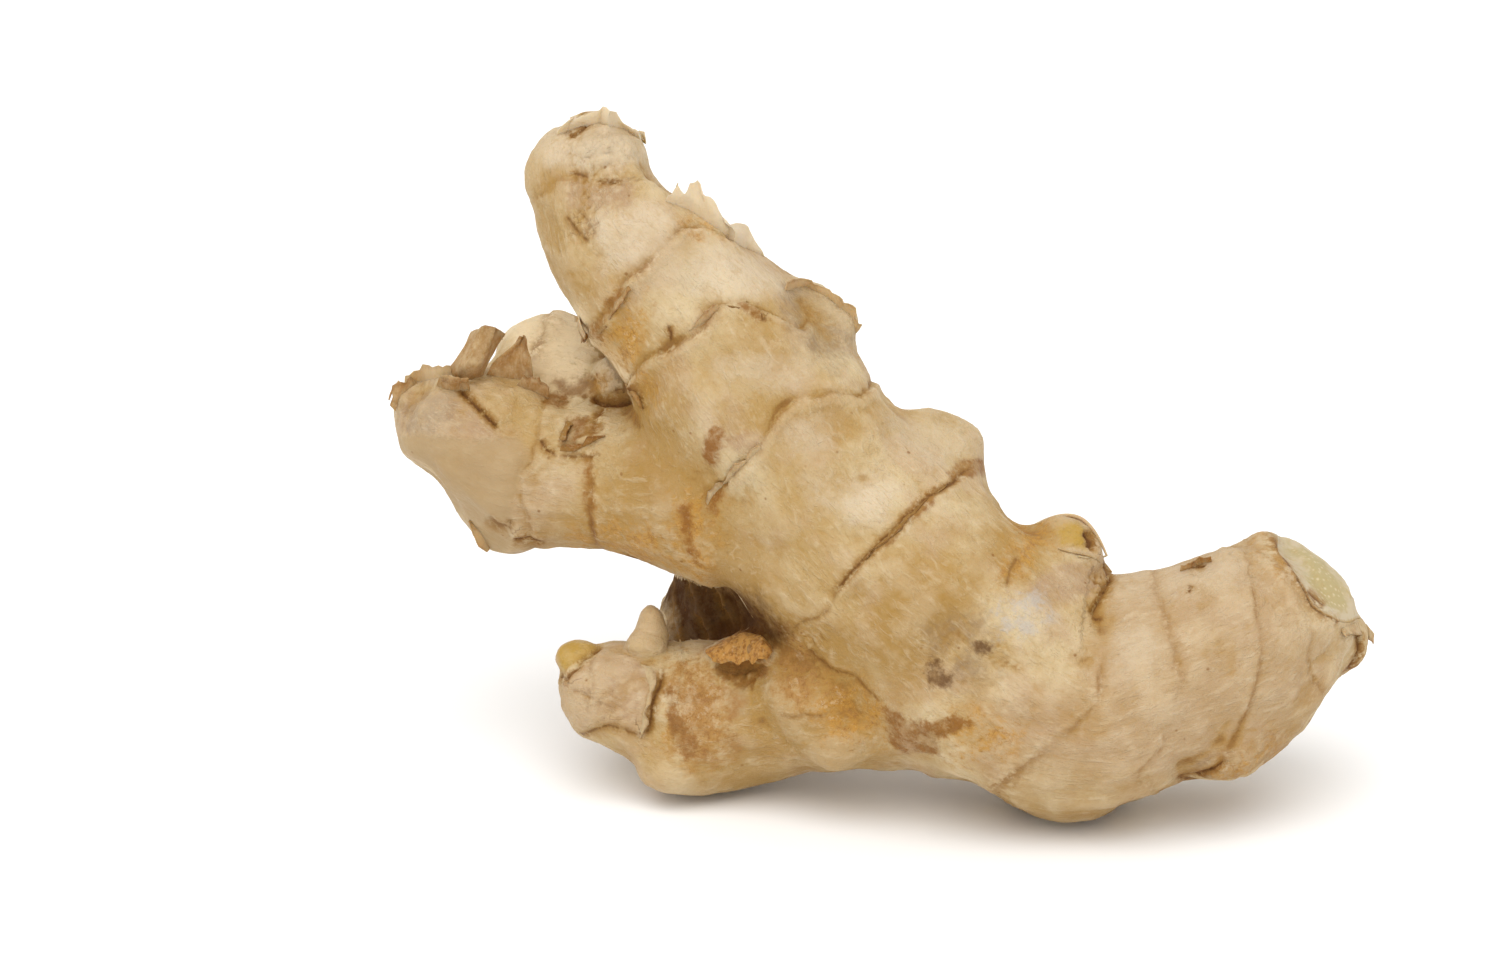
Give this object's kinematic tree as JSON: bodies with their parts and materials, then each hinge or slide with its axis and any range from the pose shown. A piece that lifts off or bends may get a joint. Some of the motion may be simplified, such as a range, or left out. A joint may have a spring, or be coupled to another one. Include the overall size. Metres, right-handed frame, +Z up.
{
  "type": "ginger root",
  "caption": "Fresh ginger rhizome with a thick bent trunk and stubby ringed fingers, standing on its belly and two fingers, sawn flat at one end.",
  "frame": {"origin": "bottom centre of the root's bounding box, on the surface that it stands on", "axes": "+X to the right along the root's length, +Y away from the viewer, +Z up"},
  "size_m": [0.1498, 0.069, 0.1036],
  "materials": {
    "skin": "thin dry papery skin, satin, ringed and fibrous, with tan to brown node rings"
  },
  "bodies": {
    "root": {"rhizome": "skin"}
  },
  "joints": []
}
